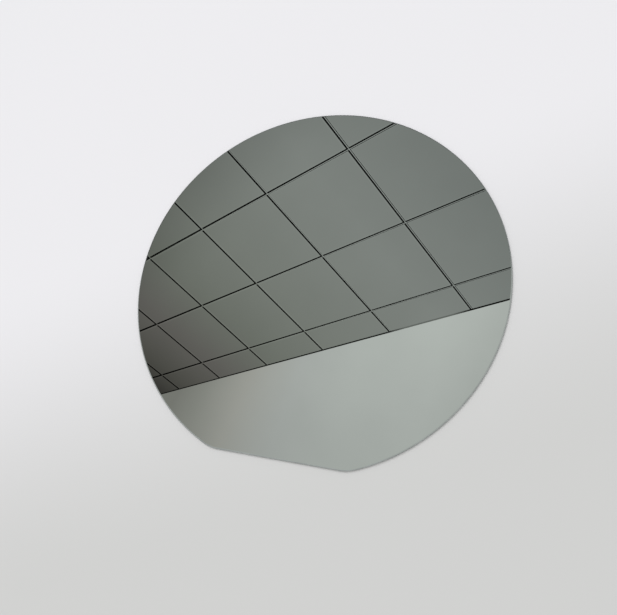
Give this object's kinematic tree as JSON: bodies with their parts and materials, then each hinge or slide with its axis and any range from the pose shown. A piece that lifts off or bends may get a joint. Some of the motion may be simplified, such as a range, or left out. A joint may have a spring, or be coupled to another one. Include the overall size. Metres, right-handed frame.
{
  "type": "silicon wafer",
  "caption": "Thin round disc of single-crystal silicon with a mirror-polished face, a ground edge and a straight orientation flat.",
  "frame": {"origin": "centre of the round edge's circle, on the back face", "axes": "+Z out of the polished face, -Y out of the primary flat, +X along the flat"},
  "size_m": [0.1, 0.0969, 0.0005],
  "materials": {
    "silicon": "mirror-polished front, diamond-ground edge, etched satin back"
  },
  "bodies": {
    "root": {"wafer": "silicon"}
  },
  "joints": []
}
